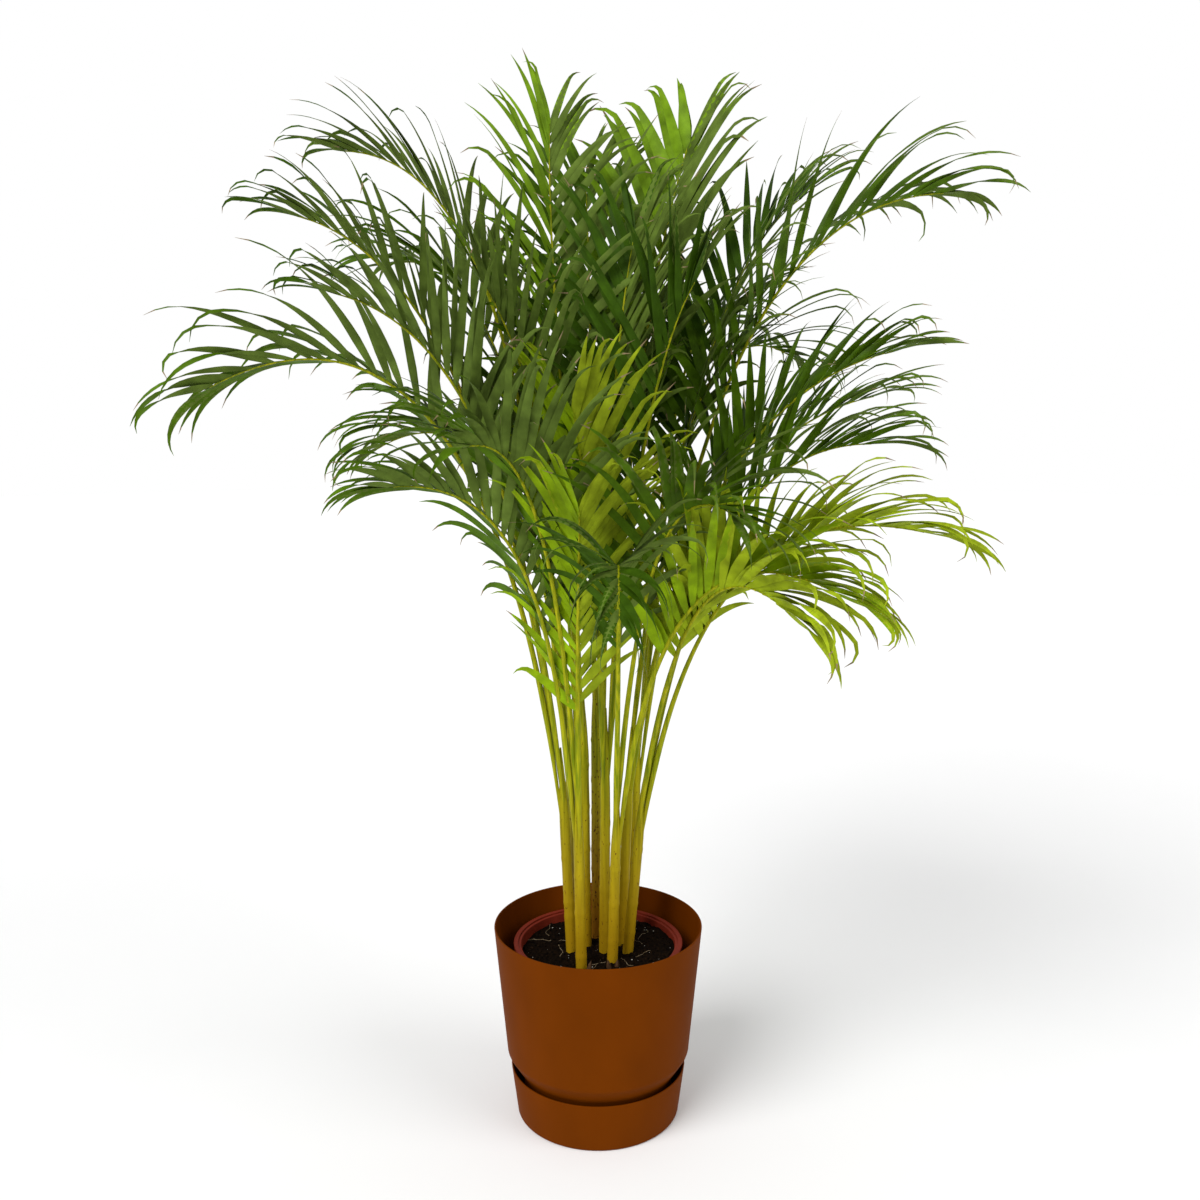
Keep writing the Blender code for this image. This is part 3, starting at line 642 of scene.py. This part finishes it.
def tube(form, places, radii, sides):
    """A closed tube along a line, its rings square to it. Returns the rings."""
    last = len(places) - 1
    across = None
    rings = []
    for rank, place in enumerate(places):
        ahead = (places[min(rank + 1, last)] - places[max(rank - 1, 0)]).normalized()
        if across is None:
            across = ahead.orthogonal()
        across = (across - ahead * across.dot(ahead)).normalized()
        other = ahead.cross(across)
        ring = []
        for side in range(sides):
            angle = math.tau * side / sides
            out = across * math.cos(angle) + other * math.sin(angle)
            ring.append(form.verts.new(place + out * radii[rank]))
        rings.append(ring)
    for one, two in zip(rings, rings[1:]):
        for side in range(sides):
            after = (side + 1) % sides
            form.faces.new((one[side], one[after], two[after], two[side]))
    form.faces.new(list(reversed(rings[0])))
    form.faces.new(rings[-1])
    return rings


def roots_form(draw):
    """Fine roots that lie over the compost near the canes."""
    form = bmesh.new()
    for _ in range(ROOTS):
        place = heading_vector(draw.uniform(0.0, 360.0)) * draw.uniform(*ROOT_STARTS)
        heading = draw.uniform(0.0, 360.0)
        line = []
        for _ in range(draw.randint(*ROOT_POINTS)):
            line.append(Vector((place.x, place.y, soil_height(place.x, place.y) + ROOT_LIFT)))
            heading += draw.uniform(-ROOT_BEND, ROOT_BEND)
            place = place + heading_vector(heading) * ROOT_STEP
        thick = draw.uniform(*ROOT_RADII)
        tube(form, line, [thick] * len(line), ROOT_SIDES)
    return form


def stubs_form(draw):
    """Dried, pointed ends of old sheaths that stand up out of the compost."""
    form = bmesh.new()
    for across, back in STUBS:
        foot = Vector((across, back, SOIL_LEVEL - STUB_SUNK))
        lean = Vector((draw.uniform(-STUB_LEAN, STUB_LEAN), draw.uniform(-STUB_LEAN, STUB_LEAN), 1.0))
        tall = draw.uniform(*STUB_HEIGHTS)
        line = []
        radii = []
        for step in range(STUB_STEPS + 1):
            line.append(foot + lean * tall * step / STUB_STEPS)
            radii.append(STUB_RADIUS * (STUB_TIP - (step / STUB_STEPS) ** 2))
        tube(form, line, radii, STUB_SIDES)
    return form


def cane_axis(cane, share):
    """A point of a cane's middle line, from its foot to its top."""
    foot = Vector((cane.foot_x, cane.foot_y, SOIL_LEVEL))
    top = Vector((cane.top_x, cane.top_y, cane.top_z))
    return foot.lerp(top, share)


def cane_form(cane, draw):
    """A cane with ring scars and fine relief, that runs on as a sheath round the feet of its fronds."""
    height = cane.top_z - SOIL_LEVEL
    first = -CANE_BURIED / height
    end = 1.0 + SHEATH_LENGTH * draw.uniform(*SHEATH_LENGTHS) / height
    count = round((end - first) * height / CANE_STEP)
    scars = [draw.uniform(*NODE_STARTS) * NODE_SPACING + NODE_SPACING * rank for rank in range(NODES)]
    places = []
    radii = []
    for step in range(count + 1):
        share = first + (end - first) * step / count
        radius = CANE_FOOT_RADIUS + (CANE_TOP_RADIUS - CANE_FOOT_RADIUS) * min(max(share, 0.0), 1.0)
        if share > 1.0:
            rise = (share - 1.0) / (end - 1.0)
            radius += (SHEATH_TOP_RADIUS - CANE_TOP_RADIUS) * rise ** SHEATH_TAPER
        else:
            near = min(abs(share * height - scar) for scar in scars)
            radius += NODE_SWELL * math.exp(-(near / NODE_SPREAD) ** 2)
        places.append(cane_axis(cane, share))
        radii.append(radius)
    form = bmesh.new()
    rings = tube(form, places, radii, CANE_SIDES)
    shift = Vector((draw.uniform(0.0, RELIEF_SHIFT), 0.0, 0.0))
    for ring, place in zip(rings, places):
        for corner in ring:
            out = corner.co - place
            spot = Vector((out.x * RELIEF_ACROSS, out.y * RELIEF_ACROSS, place.z * RELIEF_ALONG))
            corner.co += out.normalized() * noise.noise(spot + shift) * RELIEF_DEPTH
    return form


def rib_controls(frond):
    """The four control points of a rib, from the top of its cane to its end."""
    cane = CANES[frond.cane]
    top = cane_axis(cane, 1.0)
    out = heading_vector(frond.heading)
    left = heading_vector(frond.heading + 90.0)
    start = top + heading_vector(frond.seat) * SEAT_RADIUS
    start.z = top.z + GAP
    climb = (top - cane_axis(cane, 0.0)).normalized() + out * SPREAD
    first = start + climb.normalized() * RISE * (frond.crest - top.z)
    end = out * frond.reach
    end.z = frond.height
    over = top.lerp(end, frond.lead) + left * frond.sway
    over.z = frond.crest
    return start, first, over, end


def rib_point(controls, share):
    """A point of the rib and its direction there."""
    start, first, over, end = controls
    rest = 1.0 - share
    point = rest ** 3 * start + 3 * rest ** 2 * share * first
    point = point + 3 * rest * share ** 2 * over + share ** 3 * end
    along = rest ** 2 * (first - start) + 2 * rest * share * (over - first) + share ** 2 * (end - over)
    return point, along.normalized()


def rib_radius(share):
    """The rib swells as it leaves its sheath and then runs out to a fine end."""
    clear = min(1.0, RIB_HIDDEN_FOOT + (1.0 - RIB_HIDDEN_FOOT) * share / RIB_CLEARS_SHEATH)
    return clear * (RIB_FOOT_RADIUS + (RIB_TIP_RADIUS - RIB_FOOT_RADIUS) * share ** RIB_TAPER)


def rib_form(frond):
    """A frond's stalk and rib as one tapered tube."""
    controls = rib_controls(frond)
    shares = [step / RIB_STATIONS for step in range(RIB_STATIONS + 1)]
    places = [rib_point(controls, share)[0] for share in shares]
    form = bmesh.new()
    tube(form, places, [rib_radius(share) for share in shares], RIB_SIDES)
    return form


def leaflet_size(frond, share):
    """Leaflets grow longer over the first part of the blade and shorter towards its end."""
    if share < LONGEST_AT:
        rise = math.sin(math.pi / 2.0 * share / LONGEST_AT)
        return frond.leaf * (FIRST_LENGTH + (1.0 - FIRST_LENGTH) * rise)
    fall = ((share - LONGEST_AT) / (1.0 - LONGEST_AT)) ** LENGTH_FALL
    return frond.leaf * (1.0 - (1.0 - LAST_LENGTH) * fall)


def leaflet_line(frond, share, side, draw):
    """The middle line of one leaflet, from the rib to its tip, and the rib's direction at its root."""
    place, along = rib_point(rib_controls(frond), frond.bare + (BLADE_END - frond.bare) * share)
    out = heading_vector(frond.heading)
    across = out.cross(Vector((0.0, 0.0, 1.0)))
    across = (across - along * across.dot(along)).normalized()
    above = across.cross(along)
    blade_turn = Matrix.Rotation(math.radians(frond.roll), 3, along)
    across = blade_turn @ across
    above = blade_turn @ above
    open_by = draw.uniform(-OPEN_VARIES, OPEN_VARIES)
    lift_by = draw.uniform(-LIFT_VARIES, LIFT_VARIES)
    angle = math.radians(ANGLE_AT_FOOT + (ANGLE_AT_TIP - ANGLE_AT_FOOT) * share ** ANGLE_FALL + open_by)
    lift = math.radians(LIFT_AT_FOOT + (LIFT_AT_TIP - LIFT_AT_FOOT) * share + lift_by)
    outward = across * (side * math.cos(lift)) + above * math.sin(lift)
    begin = along * math.cos(angle) + outward * math.sin(angle)
    down = Vector((0.0, 0.0, -1.0)) + begin * begin.z
    level = down.length
    down.normalize()
    most = math.radians(frond.droop) * DROOP_GAIN * (DROOP_OF_STEEP + (1.0 - DROOP_OF_STEEP) * level)
    most *= draw.uniform(*DROOP_SHARES)
    curl = math.radians(CURL_MOST) * draw.random() ** CURL_RARITY
    length = leaflet_size(frond, share) * draw.uniform(*LENGTH_SHARES)
    line = [place]
    for step in range(LINE_STEPS):
        part = (step + 0.5) / LINE_STEPS
        bend = most * part ** DROOP_CURVE + curl * max(0.0, part - CURL_FROM) / (1.0 - CURL_FROM)
        line.append(line[-1] + (begin * math.cos(bend) + down * math.sin(bend)) * (length / LINE_STEPS))
    return line, along


def blade_width(part):
    """The share of its full width that a leaflet has: narrow at the root, widest early, a long fine tip."""
    swell = ROOT_WIDTH + (1.0 - ROOT_WIDTH) * min(1.0, part / WIDEST_AT) ** SWELL_CURVE
    return swell * max(TIP_WIDTH, 1.0 - part ** TIP_CURVE)


def add_leaflet(form, line, along, width, twist, dry):
    """A thin folded blade: two strips above and two below, with a dry end of another material."""
    last = len(line) - 1
    rings = []
    for rank, place in enumerate(line):
        part = rank / last
        ahead = (line[min(rank + 1, last)] - line[max(rank - 1, 0)]).normalized()
        wide = (along - ahead * along.dot(ahead)).normalized()
        wide = Matrix.Rotation(twist * part, 3, ahead) @ wide
        keel = wide.cross(ahead)
        half = width / 2.0 * blade_width(part)
        lift = keel * half * LEAFLET_FOLD
        under = keel * LEAFLET_THICKNESS * (THICKNESS_AT_FOOT - part)
        corners = (place - wide * half + lift, place, place + wide * half + lift, place - under)
        rings.append([form.verts.new(corner) for corner in corners])
    for rank, (one, two) in enumerate(zip(rings, rings[1:])):
        for side in range(4):
            after = (side + 1) % 4
            face = form.faces.new((one[side], one[after], two[after], two[side]))
            face.material_index = DRY if rank >= last - dry else (UPPER if side < 2 else UNDER)
    form.faces.new(rings[-1]).material_index = DRY
    form.faces.new(list(reversed(rings[0]))).material_index = UPPER


def leaves_form(frond, broad, draw):
    """All the leaflets of one frond: the two sides alternate."""
    form = bmesh.new()
    for rank in range(LEAFLETS_A_SIDE):
        for side, shift in LEAFLET_STARTS:
            start = rank + shift + draw.uniform(-START_VARIES, START_VARIES)
            share = min(start / (LEAFLETS_A_SIDE - LEAFLET_CLOSE), 1.0)
            line, along = leaflet_line(frond, max(share, 0.0), side, draw)
            width = LEAFLET_WIDTH * broad * (1.0 - WIDTH_FALL * share) * draw.uniform(*WIDTH_SHARES)
            twist = math.radians(draw.uniform(-TWIST_MOST, TWIST_MOST))
            dry = draw.choice(DRY_STEPS)
            add_leaflet(form, line, along, width, twist, dry)
    return form


def white_surround():
    """A world that shows white and lights softly."""
    world = bpy.data.worlds.new("studio")
    world.use_nodes = True
    tree = world.node_tree
    surround = tree.nodes["Background"]
    surround.inputs["Color"].default_value = WHITE
    surround.inputs["Strength"].default_value = SURROUND_LIGHT
    seen = tree.nodes.new("ShaderNodeBackground")
    seen.inputs["Color"].default_value = WHITE
    seen.inputs["Strength"].default_value = 1.0
    choice = tree.nodes.new("ShaderNodeMixShader")
    path = tree.nodes.new("ShaderNodeLightPath")
    tree.links.new(path.outputs["Is Camera Ray"], choice.inputs["Fac"])
    tree.links.new(surround.outputs["Background"], choice.inputs[1])
    tree.links.new(seen.outputs["Background"], choice.inputs[2])
    tree.links.new(choice.outputs["Shader"], tree.nodes["World Output"].inputs["Surface"])
    return world


def pale_floor():
    """A wide, round, pale floor."""
    form = bmesh.new()
    bmesh.ops.create_circle(form, cap_ends=True, segments=FLOOR_SIDES, radius=FLOOR_RADIUS)
    mesh = bpy.data.meshes.new("floor")
    form.to_mesh(mesh)
    form.free()
    material, tree, shader = shader_of("floor_pale", 0.9, 0.1)
    faint = stretched_noise(tree, FLOOR_SCALE, EVEN)
    tone = colour_ramp(tree, faint, [(0.0, FLOOR_DARK), (1.0, FLOOR_LIGHT)])
    tree.links.new(tone, shader.inputs["Base Color"])
    mesh.materials.append(material)
    floor = bpy.data.objects.new("floor", mesh)
    bpy.context.scene.collection.objects.link(floor)


def studio():
    """A pale floor, soft lights, a white surround and the camera at the photo's view."""
    scene = bpy.context.scene
    scene.view_settings.view_transform = "Standard"
    scene.world = white_surround()
    pale_floor()
    for name, (place, power) in LAMPS.items():
        lamp = bpy.data.lights.new(name, "SUN")
        lamp.energy = power
        lamp.angle = math.radians(SOFTNESS)
        light = bpy.data.objects.new(name, lamp)
        light.location = place
        aim = Vector(LAMP_AIM) - Vector(place)
        light.rotation_euler = aim.to_track_quat("-Z", "Y").to_euler()
        scene.collection.objects.link(light)
    lens = bpy.data.cameras.new("camera")
    lens.lens = VIEW_LENS
    lens.sensor_width = SENSOR
    camera = bpy.data.objects.new("camera", lens)
    camera.location = VIEW_PLACE
    camera.rotation_euler = (math.radians(90.0 - VIEW_DOWN), 0.0, 0.0)
    scene.collection.objects.link(camera)
    scene.camera = camera


def pots():
    """Planter, saucer and nursery pot."""
    brown = plastic("planter_brown", PLANTER_BROWN, 0.55, 0.02)
    red = plastic("nursery_red", NURSERY_RED, 0.50, 0.08)
    new_piece("saucer_shell", saucer_form(), [brown], "planter", "saucer")
    new_piece("planter_shell", planter_form(), [brown], "planter", "planter")
    new_piece("nursery_shell", nursery_form(), [red], "nursery_pot", "nursery_pot")


def soil():
    """The compost and what lies on it and stands in it."""
    black = soil_material("soil_black", SOIL_DARK, SOIL_FIBRE)
    crumb = soil_material("soil_crumb", CRUMB_DARK, CRUMB_FIBRE)
    white = speck_material("soil_speck")
    draw = random.Random(7)
    crumbs = scattered_form(CRUMBS, CRUMB_SIZES, CRUMB_REACH, draw)
    specks = scattered_form(SPECKS, SPECK_SIZES, SPECK_REACH, draw)
    new_piece("soil_top", soil_form(), [black], "soil", "soil")
    new_piece("soil_crumbs", crumbs, [crumb], "soil")
    new_piece("soil_specks", specks, [white], "soil")
    new_piece("roots", roots_form(draw), [stem_material("root_tan")], "soil")
    new_piece("sheath_stubs", stubs_form(draw), [stem_material("sheath_dried")], "cane_brown")


def canes():
    """Every cane with its sheath."""
    materials = {tint: stem_material(tint) for tint in ("cane_green", "cane_brown", "cane_orange")}
    for rank, (name, cane) in enumerate(CANES.items()):
        draw = random.Random(40 + rank)
        tint = CANE_TINTS.get(name, "cane_green")
        slot = "cane_green" if tint == "cane_green" else "cane_brown"
        new_piece("stem_" + name, cane_form(cane, draw), [materials[tint]], slot, "cane_" + name)


def fronds():
    """Every frond: its rib and its leaflets."""
    stalk = stem_material("stalk_green")
    under = leaf_material("leaf_under", LEAF_UNDER, 0.60, 0.03)
    under_painted_lit = leaf_material("leaf_under_bright", LEAF_UNDER_PAINTED_LIT, 0.60, 0.03)
    dry = leaf_material("leaf_dry", LEAF_DRY, 0.8, 0.05)
    greens_with_painted_light_shade = {tint: leaf_material("leaf_" + tint, colour) for tint, colour in LEAF_GREEN_AND_PAINTED_LIGHT_SHADE.items()}
    for rank, (name, frond) in enumerate(FRONDS.items()):
        draw = random.Random(100 + rank)
        # Fronds outside the sets take the common green. The rest take a copy with painted light or painted
        # shade, and those with painted light also take an underside with painted light.
        tint = next((tint for tint, names in FROND_PAINTED_LIGHT_AND_SHADE.items() if name in names), "green")
        lit = tint in ("bright", "painted_sunlit")
        slot = "leaf_bright" if lit else "leaf_green"
        below = under_painted_lit if lit else under
        leaves = leaves_form(frond, BROAD_FRONDS.get(name, 1.0), draw)
        new_piece("leaves_" + name, leaves, [greens_with_painted_light_shade[tint], below, dry], slot, "frond_" + name)
        new_piece("rib_" + name, rib_form(frond), [stalk], "cane_green")


def main():
    """The whole scene."""
    studio()
    pots()
    soil()
    canes()
    fronds()


main()
